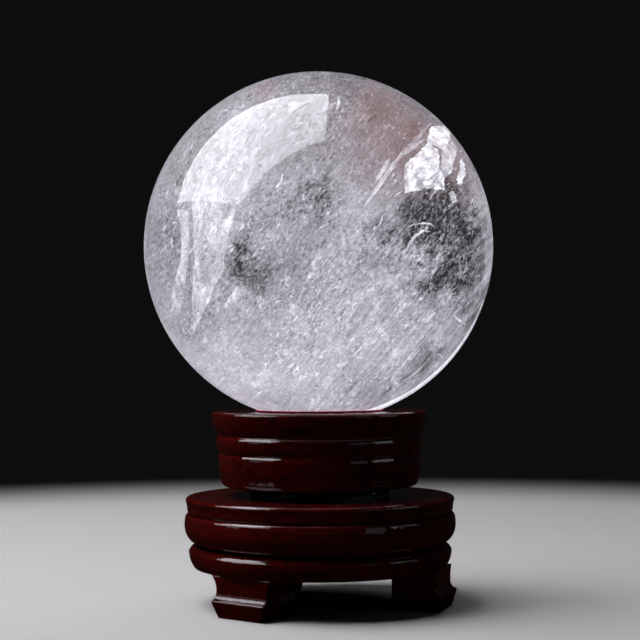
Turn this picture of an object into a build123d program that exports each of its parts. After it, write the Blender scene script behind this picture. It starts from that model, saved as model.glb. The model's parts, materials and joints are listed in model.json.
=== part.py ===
from build123d import *

import os
from math import atan2, sqrt, tan

# A rock-crystal ball resting on a turned, lacquered wooden stand.
# The stand's seat cup spins on a small ball-bearing turntable, above a round base on three legs.
# Units are millimetres. The origin is on the table, on the stand's axis, and +Z is up.
# Turned pieces are drawn as an outline of (radius, level) points and revolved about the axis.

# ---- Driving dimensions -------------------------------------------------------------------
BALL_R = 50.0

LEG_HEIGHT = 11.1
RING_HEIGHT = 6.3
DRUM_HEIGHT = 8.8
BOARD_HEIGHT = 4.6
TURNTABLE_GAP = 2.9
CUP_HEIGHT = 21.2

SEAT_CONTACT_R = 16.8  # the ball's radius where it passes through the cup's top

# ---- Levels, from the table up ------------------------------------------------------------
RING_Z = LEG_HEIGHT
DRUM_Z = RING_Z + RING_HEIGHT
BOARD_Z = DRUM_Z + DRUM_HEIGHT
DECK_Z = BOARD_Z + BOARD_HEIGHT
CUP_Z = DECK_Z + TURNTABLE_GAP
CUP_TOP_Z = CUP_Z + CUP_HEIGHT
BALL_Z = CUP_TOP_Z + sqrt(BALL_R**2 - SEAT_CONTACT_R**2)

# ---- Base board: a rounded lip over a slightly hollow side ---------------------------------
BOARD_LIP_R = 38.4
BOARD_LIP_ROUND = 1.0
BOARD_NECK_R = 37.95
BOARD_NECK_Z = BOARD_Z + 1.1
BOARD_ROOT_R = 37.2

# ---- Drum: a full band with a sloping shoulder, tucked in deeply at the bottom -------------
DRUM_R = 38.7
DRUM_FULL_Z = DRUM_Z + 5.2
DRUM_EDGE_R = 38.5
DRUM_SHOULDER = 0.9
DRUM_HOLLOW_R = 22.0
COVE_R = 34.8

# ---- Foot ring: a sloping shoulder down to a lip, then curving in towards the legs ---------
RING_LIP_R = 37.5
RING_LIP_Z = RING_Z + 4.5
RING_FOOT_R = 36.0
RING_BORE_R = 19.5

# ---- Legs: blocks with a hollowed outer face, a kicked-out lip and a tapered toe ------------
# Set by hand: each one's angle, and how far it sits out from its true place.
LEGS = {"leg_front_left": (-127.5, 0.0), "leg_right": (-18.0, 0.9), "leg_rear": (122.0, 0.4)}
LEG_INNER = 22.5
LEG_FACE = 35.2
LEG_LIP = 36.9
LEG_TOE = 35.9
LEG_TOP_HALF = 10.4
LEG_NECK_HALF = 8.7
LEG_LIP_HALF = 9.0
LEG_TOE_HALF = 7.3
LEG_NECK_Z = 6.7
LEG_LIP_Z = 4.6
LEG_LIP_BAND = 0.6
LEG_HOLLOW = 0.55
LEG_EDGE = 0.3

DOWEL_R = 2.0
DOWEL_LENGTH = 9.6
DOWEL_AT = 28.0
DOWEL_SIDE = 4.6
DOWEL_END_GAP = 0.15

# ---- Cup: three rolls, each fullest near its top, with a groove between them ---------------
CUP_FOOT_R = 28.2
CUP_FOOT_ROUND = 1.6
CUP_ROLLS = (  # height of the roll's top in the cup, radius at its bottom, radius at its fullest
    (9.3, 28.2, 29.15),
    (14.45, 28.7, 29.8),
    (CUP_HEIGHT, 29.1, 30.85),
)
ROLL_SHOULDER = 1.4
ROLL_FULLNESS = 0.75
CUP_RIM_ROUND = 0.9
SEAT_HOLE_R = 14.0
SEAT_HOLE_DEPTH = 10.5
LINER_R = 17.5
LINER_T = 1.7
BALL_CLEARANCE = 0.05

# ---- Turntable: two steel plates held together by a hollow rivet, with loose balls between --
PLATE_R = 20.0
PLATE_T = 1.0
PLATE_TO_BALL = 1.2  # from a plate's face to the level of the balls' centres
RACE_R = 12.5
RACE_CLEARANCE = 0.05
BEARING_BALL_R = 1.5
BEARING_BALLS = 12
RETAINER_IN_R = 10.6
RETAINER_OUT_R = 14.3
RETAINER_T = 0.8
RIVET_R = 4.0
RIVET_BORE_R = 3.0
RIVET_FLANGE_R = 5.5
RIVET_FLANGE_T = 0.6
RIVET_SPIN_GAP = 0.08
RIVET_LIFT_GAP = 0.06
POCKET_GAP = 0.4  # round the upper plate and the rivet's flange, in the cup's underside

BEARING_Z = DECK_Z + PLATE_T + PLATE_TO_BALL
UPPER_PLATE_Z = BEARING_Z + PLATE_TO_BALL
POCKET_Z = UPPER_PLATE_Z + PLATE_T

# ---- Screws ---------------------------------------------------------------------------------
PLATE_SCREW_CIRCLE = 16.6
PLATE_SCREWS = 4
PLATE_SCREW_R = 1.1
PLATE_SCREW_HOLE_R = 1.2
PLATE_SCREW_HEAD_R = 2.0
PLATE_SCREW_HEAD_T = 1.0
LOWER_SCREW_LENGTH = 5.0
UPPER_SCREW_LENGTH = 6.5
LOWER_SCREW_ANGLE = -121.0
UPPER_SCREW_ANGLE = -90.0
ACCESS_HOLE_R = 2.6
ACCESS_HOLE_ANGLE = 15.0
BASE_SCREWS = 3
BASE_SCREW_CIRCLE = 28.5
BASE_SCREW_ANGLE = 51.0
BASE_SCREW_R = 1.5
BASE_SCREW_HEAD_R = 2.8
BASE_SCREW_LENGTH = 19.0
BASE_SCREW_POINT = 1.5
SCREW_HOLE_GAP = 0.15
SLOT_WIDTH = 0.5
SLOT_DEPTH = 0.45


# ---- Shapes that repeat -----------------------------------------------------------------------
def turned(start, *steps):
    """Revolves a closed outline. A step is a point for a straight run, or (via, point) for an arc."""
    edges = []
    here = start
    for step in steps + (start,):
        is_arc = isinstance(step[0], tuple)
        there = step[1] if is_arc else step
        stops = [here, step[0], there] if is_arc else [here, there]
        stops = [(radius, 0, level) for radius, level in stops]
        edges.append(ThreePointArc(*stops) if is_arc else Line(*stops))
        here = there
    return revolve(make_face(edges), Axis.Z)


def round_step(start, corner, end):
    """An arc step that rounds a corner, and meets the longer of the corner's two sides smoothly."""
    start, corner, finish = Vector(*start), Vector(*corner), Vector(*end)
    short, long = sorted([(corner - start).length, (finish - corner).length])
    middle = (start + finish) * 0.5
    chord = finish - start
    across = Vector(-chord.Y, chord.X).normalized()
    outward = across if across.dot(corner - middle) > 0 else -across
    via = middle + outward * (chord.length / 2 * tan(atan2(short, long) / 2))
    return (via.X, via.Y), end


def disc(radius, low, high):
    """An upright cylinder on the axis between two levels."""
    return Pos(0, 0, low) * Cylinder(radius, high - low, align=(Align.CENTER, Align.CENTER, Align.MIN))


def placed(shape, radius, angle):
    """A shape moved out from the axis, along a bearing."""
    return Rot(0, 0, angle) * Pos(radius, 0, 0) * shape


def spread(shape, radius, count, first_angle):
    """Copies of a shape, evenly spaced round a circle."""
    return [placed(shape, radius, first_angle + 360 * i / count) for i in range(count)]


def group(shapes):
    """Separate solids kept together as one node."""
    return Compound(children=[solid for shape in shapes for solid in shape.solids()])


# ---- Base -----------------------------------------------------------------------------------
def make_base_board():
    """The base's round top, which carries the turntable."""
    root = (BOARD_ROOT_R, BOARD_Z)
    neck = (BOARD_NECK_R, BOARD_NECK_Z)
    lip = (BOARD_LIP_R, DECK_Z - BOARD_LIP_ROUND)
    hollow = ((neck[0] + lip[0]) / 2 - 0.1, (neck[1] + lip[1]) / 2)
    board = turned(
        (0, BOARD_Z),
        root,
        round_step(root, (BOARD_NECK_R, BOARD_Z), neck),
        (hollow, lip),
        round_step(lip, (BOARD_LIP_R, DECK_Z), (BOARD_LIP_R - BOARD_LIP_ROUND, DECK_Z)),
        (0, DECK_Z),
    )
    board -= disc(RIVET_FLANGE_R + POCKET_GAP, DECK_Z - RIVET_FLANGE_T, DECK_Z)
    board -= placed(disc(ACCESS_HOLE_R, BOARD_Z, DECK_Z), PLATE_SCREW_CIRCLE, ACCESS_HOLE_ANGLE)
    pilot = disc(PLATE_SCREW_R, DECK_Z + PLATE_T - LOWER_SCREW_LENGTH, DECK_Z)
    board -= spread(pilot, PLATE_SCREW_CIRCLE, PLATE_SCREWS, LOWER_SCREW_ANGLE)
    return board - base_screw_holes(BASE_SCREW_R)


def make_base_drum():
    """The base's main band."""
    cove = (COVE_R, DRUM_Z)
    full = (DRUM_R, DRUM_FULL_Z)
    edge = (DRUM_EDGE_R, BOARD_Z - DRUM_SHOULDER)
    root = (BOARD_ROOT_R, BOARD_Z)
    drum = turned(
        (DRUM_HOLLOW_R, DRUM_Z),
        cove,
        round_step(cove, (DRUM_R, DRUM_Z), full),
        ((DRUM_R, (full[1] + edge[1]) / 2), edge),
        round_step(edge, (DRUM_EDGE_R, BOARD_Z), root),
        (DRUM_HOLLOW_R, BOARD_Z),
    )
    return drum - base_screw_holes(BASE_SCREW_R + SCREW_HOLE_GAP)


def make_foot_ring():
    """The lower ring, which the legs are pegged into."""
    foot = (RING_FOOT_R, RING_Z)
    lip = (RING_LIP_R, RING_LIP_Z)
    cove = (COVE_R, DRUM_Z)
    ring = turned(
        (RING_BORE_R, RING_Z),
        foot,
        round_step(foot, (RING_LIP_R, RING_Z), lip),
        round_step(lip, (RING_LIP_R, DRUM_Z), cove),
        (RING_BORE_R, DRUM_Z),
    )
    ring -= base_screw_holes(BASE_SCREW_R + SCREW_HOLE_GAP)
    sink_r = BASE_SCREW_HEAD_R + SCREW_HOLE_GAP
    sink = turned((0, RING_Z), (sink_r, RING_Z), (0, RING_Z + sink_r))
    ring -= spread(sink, BASE_SCREW_CIRCLE, BASE_SCREWS, BASE_SCREW_ANGLE)
    return ring - [hole for leg in LEGS.values() for hole in dowel_holes(leg)]


def base_screw_holes(radius):
    """Upright holes for the long screws that clamp ring, drum and board together."""
    hole = disc(radius, RING_Z, RING_Z + BASE_SCREW_LENGTH)
    return spread(hole, BASE_SCREW_CIRCLE, BASE_SCREWS, BASE_SCREW_ANGLE)


# ---- Legs -----------------------------------------------------------------------------------
def set_leg(leg, shape):
    """Moves a shape made along +X to where a leg stands."""
    angle, outset = leg
    return Rot(0, 0, angle) * Pos(outset, 0, 0) * shape


def make_leg(leg):
    """One leg: what a side outline and a front outline have in common, with its edges eased."""
    band_z = LEG_LIP_Z - LEG_LIP_BAND
    side = [
        Line((0, 0), (LEG_TOE, 0)),
        Line((LEG_TOE, 0), (LEG_LIP, band_z)),
        Line((LEG_LIP, band_z), (LEG_LIP, LEG_LIP_Z)),
        hollow_arc((LEG_LIP, LEG_LIP_Z), (LEG_FACE, LEG_NECK_Z)),
        Line((LEG_FACE, LEG_NECK_Z), (LEG_FACE, LEG_HEIGHT)),
        Line((LEG_FACE, LEG_HEIGHT), (0, LEG_HEIGHT)),
        Line((0, LEG_HEIGHT), (0, 0)),
    ]
    front = [
        Line((0, 0), (LEG_TOE_HALF, 0)),
        Line((LEG_TOE_HALF, 0), (LEG_LIP_HALF, band_z)),
        Line((LEG_LIP_HALF, band_z), (LEG_LIP_HALF, LEG_LIP_Z)),
        Line((LEG_LIP_HALF, LEG_LIP_Z), (LEG_NECK_HALF, LEG_NECK_Z)),
        hollow_arc((LEG_NECK_HALF, LEG_NECK_Z), (LEG_TOP_HALF, LEG_HEIGHT)),
        Line((LEG_TOP_HALF, LEG_HEIGHT), (0, LEG_HEIGHT)),
        Line((0, LEG_HEIGHT), (0, 0)),
    ]
    seen_from_side = extrude(Plane.XZ * make_face(side), LEG_TOP_HALF, both=True)
    seen_from_front = extrude(Plane.YZ * make_face(front), LEG_LIP)
    half = seen_from_side & seen_from_front
    block = half + mirror(half, Plane.XZ)
    block -= Box(2 * LEG_INNER, 4 * LEG_TOP_HALF, 4 * LEG_HEIGHT)
    below_top = [e for e in block.edges() if e.center().Z < LEG_HEIGHT - LEG_EDGE]
    return set_leg(leg, fillet(below_top, LEG_EDGE)) - dowel_holes(leg)


def hollow_arc(start, end):
    """An arc that sags towards the leg's middle."""
    along = Vector(*end) - Vector(*start)
    across = Vector(-along.Y, along.X).normalized()
    inward = across if across.X < 0 else -across
    return ThreePointArc(start, Vector(*start) + along * 0.5 + inward * LEG_HOLLOW, end)


def dowels(leg, gap=0.0):
    """Two upright pegs, half in the leg and half in the ring."""
    reach = DOWEL_LENGTH / 2 + gap
    peg = disc(DOWEL_R, RING_Z - reach, RING_Z + reach)
    return [set_leg(leg, Pos(DOWEL_AT, side, 0) * peg) for side in (-DOWEL_SIDE, DOWEL_SIDE)]


def dowel_holes(leg):
    """Holes a little deeper than the pegs."""
    return dowels(leg, DOWEL_END_GAP)


def make_leg_dowels():
    """All the pegs."""
    return group([peg for leg in LEGS.values() for peg in dowels(leg)])


# ---- Turntable ------------------------------------------------------------------------------
def make_plate(low, centre_hole_r, first_screw_angle):
    """A turntable plate with its centre hole, its screw holes and the track for the balls."""
    high = low + PLATE_T
    track = Pos(0, 0, BEARING_Z) * Torus(RACE_R, BEARING_BALL_R + RACE_CLEARANCE)
    plate = disc(PLATE_R, low, high) - disc(centre_hole_r, low, high) - track
    hole = disc(PLATE_SCREW_HOLE_R, low, high)
    return plate - spread(hole, PLATE_SCREW_CIRCLE, PLATE_SCREWS, first_screw_angle)


def make_lower_plate():
    """The fixed plate, with a hole to reach the upper plate's screws from below."""
    plate = make_plate(DECK_Z, RIVET_R, LOWER_SCREW_ANGLE)
    access = disc(ACCESS_HOLE_R, DECK_Z, DECK_Z + PLATE_T)
    return plate - placed(access, PLATE_SCREW_CIRCLE, ACCESS_HOLE_ANGLE)


def make_upper_plate():
    """The plate that turns with the cup."""
    return make_plate(UPPER_PLATE_Z, RIVET_R + RIVET_SPIN_GAP, UPPER_SCREW_ANGLE)


def make_bearing_balls():
    """The loose steel balls."""
    ball = Pos(0, 0, BEARING_Z) * Sphere(BEARING_BALL_R)
    return group(spread(ball, RACE_R, BEARING_BALLS, 0))


def make_ball_retainer():
    """A flat ring whose pockets keep the balls apart."""
    low = BEARING_Z - RETAINER_T / 2
    high = BEARING_Z + RETAINER_T / 2
    ring = disc(RETAINER_OUT_R, low, high) - disc(RETAINER_IN_R, low, high)
    pocket = disc(BEARING_BALL_R + RACE_CLEARANCE, low, high)
    return ring - spread(pocket, RACE_R, BEARING_BALLS, 0)


def make_centre_rivet():
    """The hollow rivet: fast in the lower plate, free in the upper one."""
    low = DECK_Z - RIVET_FLANGE_T
    head = POCKET_Z + RIVET_LIFT_GAP
    high = head + RIVET_FLANGE_T
    flanges = disc(RIVET_FLANGE_R, low, DECK_Z) + disc(RIVET_FLANGE_R, head, high)
    return flanges + disc(RIVET_R, DECK_Z, head) - disc(RIVET_BORE_R, low, high)


def pan_screw(length):
    """A small slotted pan-head screw: the head stands on level zero and the shank hangs below."""
    side = (PLATE_SCREW_HEAD_R, PLATE_SCREW_HEAD_T * 0.4)
    screw = turned(
        (0, -length),
        (PLATE_SCREW_R, PLATE_SCREW_R - length),
        (PLATE_SCREW_R, 0),
        (PLATE_SCREW_HEAD_R, 0),
        side,
        round_step(side, (PLATE_SCREW_HEAD_R, PLATE_SCREW_HEAD_T), (0, PLATE_SCREW_HEAD_T)),
    )
    return screw - Pos(0, 0, PLATE_SCREW_HEAD_T) * Box(2 * PLATE_SCREW_HEAD_R, SLOT_WIDTH, 2 * SLOT_DEPTH)


def make_lower_plate_screws():
    """The screws through the lower plate into the board."""
    screw = Pos(0, 0, DECK_Z + PLATE_T) * pan_screw(LOWER_SCREW_LENGTH)
    return group(spread(screw, PLATE_SCREW_CIRCLE, PLATE_SCREWS, LOWER_SCREW_ANGLE))


def make_upper_plate_screws():
    """The screws through the upper plate into the cup, heads down."""
    screw = Pos(0, 0, UPPER_PLATE_Z) * Rot(180, 0, 0) * pan_screw(UPPER_SCREW_LENGTH)
    return group(spread(screw, PLATE_SCREW_CIRCLE, PLATE_SCREWS, UPPER_SCREW_ANGLE))


def make_base_screws():
    """The long countersunk screws, put in from under the foot ring."""
    screw = turned(
        (0, 0),
        (BASE_SCREW_HEAD_R, 0),
        (BASE_SCREW_R, BASE_SCREW_HEAD_R - BASE_SCREW_R),
        (BASE_SCREW_R, BASE_SCREW_LENGTH - BASE_SCREW_POINT),
        (0, BASE_SCREW_LENGTH),
    )
    screw -= Box(2 * BASE_SCREW_HEAD_R, SLOT_WIDTH, 2 * SLOT_DEPTH)
    return group(spread(Pos(0, 0, RING_Z) * screw, BASE_SCREW_CIRCLE, BASE_SCREWS, BASE_SCREW_ANGLE))


# ---- Cup, liner and ball ----------------------------------------------------------------------
def cup_side():
    """The cup's outside, from its foot to its rim."""
    foot = (CUP_FOOT_R - CUP_FOOT_ROUND, CUP_Z)
    low = (CUP_FOOT_R, CUP_Z + CUP_FOOT_ROUND)
    steps = [foot, round_step(foot, (CUP_FOOT_R, CUP_Z), low)]
    next_roots = [root_r for _, root_r, _ in CUP_ROLLS[1:]] + [CUP_ROLLS[-1][2] - CUP_RIM_ROUND]
    for (height, _, full_r), next_root_r in zip(CUP_ROLLS, next_roots):
        top_z = CUP_Z + height
        full = (full_r, top_z - (CUP_RIM_ROUND if height == CUP_HEIGHT else ROLL_SHOULDER))
        belly = (low[0] + ROLL_FULLNESS * (full_r - low[0]), (low[1] + full[1]) / 2)
        next_root = (next_root_r, top_z)
        steps += [(belly, full), round_step(full, (full_r, top_z), next_root)]
        low = next_root
    return steps


def make_seat_cup():
    """The turned cup that carries the ball, hollowed above for the seat and below for the turntable."""
    flange_r = RIVET_FLANGE_R + POCKET_GAP
    flange_z = POCKET_Z + RIVET_LIFT_GAP + RIVET_FLANGE_T + POCKET_GAP
    liner_z = CUP_TOP_Z - LINER_T
    hole_z = CUP_TOP_Z - SEAT_HOLE_DEPTH
    cup = turned(
        (0, flange_z),
        (flange_r, flange_z),
        (flange_r, POCKET_Z),
        (PLATE_R + POCKET_GAP, POCKET_Z),
        (PLATE_R + POCKET_GAP, CUP_Z),
        *cup_side(),
        (LINER_R, CUP_TOP_Z),
        (LINER_R, liner_z),
        (SEAT_HOLE_R, liner_z),
        (SEAT_HOLE_R, hole_z),
        (0, hole_z),
    )
    pilot = disc(PLATE_SCREW_R, UPPER_PLATE_Z, UPPER_PLATE_Z + UPPER_SCREW_LENGTH)
    return cup - spread(pilot, PLATE_SCREW_CIRCLE, PLATE_SCREWS, UPPER_SCREW_ANGLE)


def make_seat_liner():
    """The felt ring let into the cup's top, dished to the ball."""
    low = CUP_TOP_Z - LINER_T
    ring = disc(LINER_R, low, CUP_TOP_Z) - disc(SEAT_HOLE_R, low, CUP_TOP_Z)
    return ring - Pos(0, 0, BALL_Z) * Sphere(BALL_R + BALL_CLEARANCE)


def make_crystal_ball():
    """The polished ball."""
    return Pos(0, 0, BALL_Z) * Sphere(BALL_R)


def main():
    nodes = {
        "base_board": make_base_board(),
        "base_drum": make_base_drum(),
        "foot_ring": make_foot_ring(),
        "leg_dowels": make_leg_dowels(),
        "base_screws": make_base_screws(),
        "turntable_lower_plate": make_lower_plate(),
        "lower_plate_screws": make_lower_plate_screws(),
        "centre_rivet": make_centre_rivet(),
        "bearing_balls": make_bearing_balls(),
        "ball_retainer": make_ball_retainer(),
        "turntable_upper_plate": make_upper_plate(),
        "upper_plate_screws": make_upper_plate_screws(),
        "seat_cup": make_seat_cup(),
        "seat_liner": make_seat_liner(),
        "crystal_ball": make_crystal_ball(),
    }
    nodes.update((name, make_leg(leg)) for name, leg in LEGS.items())
    os.makedirs("parts", exist_ok=True)
    for name, shape in nodes.items():
        export_step(shape, f"parts/{name}.step")


main()
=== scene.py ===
import json
import math
import random

import bpy
from mathutils import Matrix, Vector, noise

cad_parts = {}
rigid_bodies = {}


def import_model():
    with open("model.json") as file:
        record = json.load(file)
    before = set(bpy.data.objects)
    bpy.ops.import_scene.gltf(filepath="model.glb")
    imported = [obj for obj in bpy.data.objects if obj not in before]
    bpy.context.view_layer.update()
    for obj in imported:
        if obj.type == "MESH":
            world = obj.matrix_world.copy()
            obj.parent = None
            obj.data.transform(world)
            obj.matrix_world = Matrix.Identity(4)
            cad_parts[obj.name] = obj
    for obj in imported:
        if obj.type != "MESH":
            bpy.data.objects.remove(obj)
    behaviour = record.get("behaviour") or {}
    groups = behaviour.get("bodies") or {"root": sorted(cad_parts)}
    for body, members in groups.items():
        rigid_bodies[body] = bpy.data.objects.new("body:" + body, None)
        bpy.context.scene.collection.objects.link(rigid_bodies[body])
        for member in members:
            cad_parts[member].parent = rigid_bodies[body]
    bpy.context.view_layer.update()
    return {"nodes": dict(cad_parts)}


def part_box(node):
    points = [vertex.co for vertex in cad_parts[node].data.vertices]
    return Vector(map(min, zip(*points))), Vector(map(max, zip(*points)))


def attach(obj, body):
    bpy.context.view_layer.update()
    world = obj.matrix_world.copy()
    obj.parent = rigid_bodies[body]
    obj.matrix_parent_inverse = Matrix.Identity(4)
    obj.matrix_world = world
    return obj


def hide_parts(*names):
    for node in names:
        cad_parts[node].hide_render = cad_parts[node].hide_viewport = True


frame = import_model()
NODES = frame["nodes"]

MM = 0.001
BALL_LOW, BALL_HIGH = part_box("crystal_ball")
BALL_C = (BALL_LOW + BALL_HIGH) / 2
BALL_R = (BALL_HIGH.z - BALL_LOW.z) / 2
QUARTZ_IOR = 1.544

# The camera: close in front, level with the ball's lower half, tipped up a little
EYE = Vector((0.0003, -0.4200, 0.0686))
LENS_MM = 82.1
SENSOR_MM = 36.0
TIP_UP = math.radians(1.69)
ROLL = 0.006

# What the camera sees beyond the floor, and the faint light that comes from there
BACKDROP = (0.0045, 0.0042, 0.0042)
AMBIENT = (0.005, 0.005, 0.0055)

# The Mix node's sockets for colours, which share their names with other sockets
MIX_SHARE, MIX_FROM, MIX_TO, MIX_RESULT = 0, 6, 7, 2


# ---------------------------------------------------------------- shader helper


class Shader:
    """A material's node tree, built from small expressions: each call returns an output socket."""

    def __init__(self, name):
        self.material = bpy.data.materials.new(name)
        self.material.use_nodes = True
        self.tree = self.material.node_tree
        self.tree.nodes.clear()

    def node(self, kind, inputs=None, **settings):
        n = self.tree.nodes.new(kind)
        for key, value in settings.items():
            setattr(n, key, value)
        for key, value in (inputs or {}).items():
            if isinstance(value, bpy.types.NodeSocket):
                self.tree.links.new(value, n.inputs[key])
            elif value is not None:
                n.inputs[key].default_value = value
        return n

    def math(self, operation, a, b=0.0):
        return self.node("ShaderNodeMath", {0: a, 1: b}, operation=operation).outputs[0]

    def mul(self, a, b):
        return self.math("MULTIPLY", a, b)

    def add(self, a, b):
        return self.math("ADD", a, b)

    def less(self, a, b):
        return self.math("SUBTRACT", a, b)

    def larger(self, a, b):
        return self.math("MAXIMUM", a, b)

    def vec(self, operation, a, b=None, scale=None):
        n = self.node("ShaderNodeVectorMath", {0: a, 1: b, "Scale": scale}, operation=operation)
        scalar = operation in ("DOT_PRODUCT", "LENGTH", "DISTANCE")
        return n.outputs["Value" if scalar else "Vector"]

    def stretched(self, at, stretch):
        return self.vec("MULTIPLY", at, stretch)

    def height_of(self, at):
        return self.node("ShaderNodeSeparateXYZ", {0: at}).outputs["Z"]

    def here(self):
        """The shaded point in the piece's own frame, in metres."""
        return self.node("ShaderNodeTexCoord").outputs["Object"]

    def here_mm(self, stretch=(1, 1, 1)):
        return self.stretched(self.here(), tuple(1000.0 * k for k in stretch))

    def noise(self, at, scale, detail=3.0, rough=0.55, warp=0.0, colour=False):
        inputs = {
            "Vector": at,
            "Scale": scale,
            "Detail": detail,
            "Roughness": rough,
            "Distortion": warp,
        }
        return self.node("ShaderNodeTexNoise", inputs).outputs["Color" if colour else "Fac"]

    def cells(self, at, scale, output="Distance"):
        return self.node("ShaderNodeTexVoronoi", {"Vector": at, "Scale": scale}).outputs[output]

    def remap(self, x, low, high, to_low=0.0, to_high=1.0):
        """x eased from (low, high) to (to_low, to_high), and held there beyond them."""
        inputs = {
            "Value": x,
            "From Min": low,
            "From Max": high,
            "To Min": to_low,
            "To Max": to_high,
        }
        return self.node("ShaderNodeMapRange", inputs, interpolation_type="SMOOTHSTEP").outputs[0]

    def mix(self, share, a, b):
        """From colour a to colour b."""
        inputs = {MIX_SHARE: share, MIX_FROM: rgba(a), MIX_TO: rgba(b)}
        return self.node("ShaderNodeMix", inputs, data_type="RGBA").outputs[MIX_RESULT]

    def bump(self, height, strength, deep_mm, normal=None):
        inputs = {
            "Height": height,
            "Strength": strength,
            "Distance": deep_mm * MM,
            "Normal": normal,
        }
        return self.node("ShaderNodeBump", inputs).outputs[0]

    def surface(self, **inputs):
        """The Principled node, its inputs named with _ for a space."""
        named = {key.replace("_", " "): value for key, value in inputs.items()}
        for key in ("Base Color", "Emission Color", "Sheen Tint"):
            if key in named:
                named[key] = rgba(named[key])
        return self.node("ShaderNodeBsdfPrincipled", named).outputs[0]

    def finish(self, shader):
        self.node("ShaderNodeOutputMaterial", {"Surface": shader})
        return self.material


def rgba(colour):
    if isinstance(colour, bpy.types.NodeSocket) or len(colour) == 4:
        return colour
    return (*colour, 1.0)


# ---------------------------------------------------------------- materials


def lacquered_wood():
    """Dark red stain over fine grain, under a thick brushed gloss lacquer with nibs and sags."""
    s = Shader("lacquered_wood")
    dark, red, cloudy = (0.022, 0.0012, 0.0008), (0.075, 0.0036, 0.0022), (0.100, 0.0050, 0.0030)
    pore, rubbed_and_highlit = (0.010, 0.0008, 0.0005), (0.260, 0.0120, 0.0070)
    mm = s.here_mm()
    grain = s.noise(s.here_mm((0.06, 1.0, 0.8)), 0.9, 6, 0.62, 0.6)
    fine = s.noise(s.here_mm((0.12, 3.2, 3.0)), 1.6, 4, 0.6)
    cloud = s.noise(mm, 0.055, 4, 0.5)
    soft_edge = s.node("ShaderNodeBevel", {"Radius": 0.5 * MM}, samples=4).outputs[0]
    straight = s.node("ShaderNodeNewGeometry").outputs["Normal"]
    # edges are lightened: partly real rubbing, partly a painted highlight line along them
    worn = s.remap(s.vec("DOT_PRODUCT", soft_edge, straight), 0.985, 0.86)
    tone = s.mix(s.remap(grain, 0.34, 0.66), dark, red)
    tone = s.mix(s.mul(s.remap(cloud, 0.35, 0.7), 0.5), tone, cloudy)
    tone = s.mix(s.mul(s.remap(fine, 0.56, 0.72), 0.6), tone, pore)
    tone = s.mix(s.mul(worn, 0.65), tone, rubbed_and_highlit)
    nibs = s.remap(s.cells(mm, 0.21), 0.16, 0.02)
    peel = s.noise(mm, 0.55, 2, 0.5)
    sag = s.noise(s.here_mm((1.0, 1.0, 0.45)), 0.11, 3, 0.5)
    coat_height = s.add(s.add(s.mul(peel, 0.28), s.mul(sag, 1.2)), s.mul(nibs, 0.35))
    wood_height = s.add(s.mul(grain, 0.6), s.mul(fine, 0.4))
    coat_normal = s.bump(coat_height, 0.55, 0.4, soft_edge)
    wood_normal = s.bump(wood_height, 0.35, 0.12, coat_normal)
    dust = s.remap(s.noise(mm, 2.6, 3, 0.7), 0.60, 0.78)
    return s.finish(
        s.surface(
            Base_Color=tone,
            Roughness=s.remap(fine, 0.3, 0.7, 0.35, 0.55),
            IOR=1.5,
            Specular_IOR_Level=0.0,  # only the lacquer mirrors
            Normal=wood_normal,
            Coat_Weight=1.0,
            Coat_IOR=1.68,
            Coat_Roughness=s.add(s.mul(dust, 0.05), s.remap(cloud, 0.3, 0.7, 0.015, 0.04)),
            Coat_Normal=coat_normal,
        )
    )


def bare_wood():
    """Pale turned hardwood of the glued dowels."""
    s = Shader("bare_wood")
    brown, pale, pore = (0.36, 0.22, 0.11), (0.62, 0.44, 0.26), (0.20, 0.11, 0.05)
    grain = s.noise(s.here_mm((2.0, 2.0, 0.12)), 0.9, 6, 0.6, 0.4)
    pores = s.noise(s.here_mm((6.0, 6.0, 0.5)), 1.0, 3, 0.6)
    tone = s.mix(s.remap(grain, 0.3, 0.7), brown, pale)
    tone = s.mix(s.mul(s.remap(pores, 0.58, 0.7), 0.7), tone, pore)
    rough = s.remap(grain, 0.3, 0.7, 0.55, 0.8)
    normal = s.bump(s.add(grain, pores), 0.4, 0.15)
    return s.finish(s.surface(Base_Color=tone, Roughness=rough, Normal=normal))


def plated_steel():
    """Zinc-plated pressed steel: faint spangle, rolling lines and handling marks."""
    s = Shader("plated_steel")
    dull, bright, stain = (0.50, 0.51, 0.52), (0.66, 0.67, 0.66), (0.30, 0.28, 0.24)
    spangle = s.cells(s.here_mm(), 0.7, output="Color")
    rolled = s.noise(s.here_mm((0.25, 6.0, 6.0)), 1.4, 4, 0.6)
    marks = s.noise(s.here_mm(), 0.35, 5, 0.65)
    tone = s.mix(spangle, dull, bright)
    tone = s.mix(s.mul(s.remap(marks, 0.55, 0.75), 0.5), tone, stain)
    rough = s.add(s.remap(rolled, 0.3, 0.7, 0.18, 0.36), s.mul(s.remap(marks, 0.5, 0.8), 0.2))
    normal = s.bump(rolled, 0.25, 0.06)
    return s.finish(s.surface(Base_Color=tone, Metallic=1.0, Roughness=rough, Normal=normal))


def black_enamel():
    """Thin black enamel over pressed steel, dulled by dust and worn grey in spots."""
    s = Shader("black_steel")
    black, dusty, worn = (0.008, 0.008, 0.009), (0.035, 0.032, 0.030), (0.16, 0.16, 0.165)
    dust = s.noise(s.here_mm(), 1.1, 5, 0.65)
    rub = s.noise(s.here_mm((0.5, 0.5, 3.0)), 0.4, 4, 0.6)
    tone = s.mix(s.remap(dust, 0.45, 0.75), black, dusty)
    tone = s.mix(s.mul(s.remap(rub, 0.62, 0.72), 0.5), tone, worn)
    rough = s.add(s.remap(dust, 0.3, 0.7, 0.34, 0.55), s.mul(rub, 0.1))
    return s.finish(s.surface(Base_Color=tone, Roughness=rough, Normal=s.bump(dust, 0.3, 0.1)))


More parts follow.
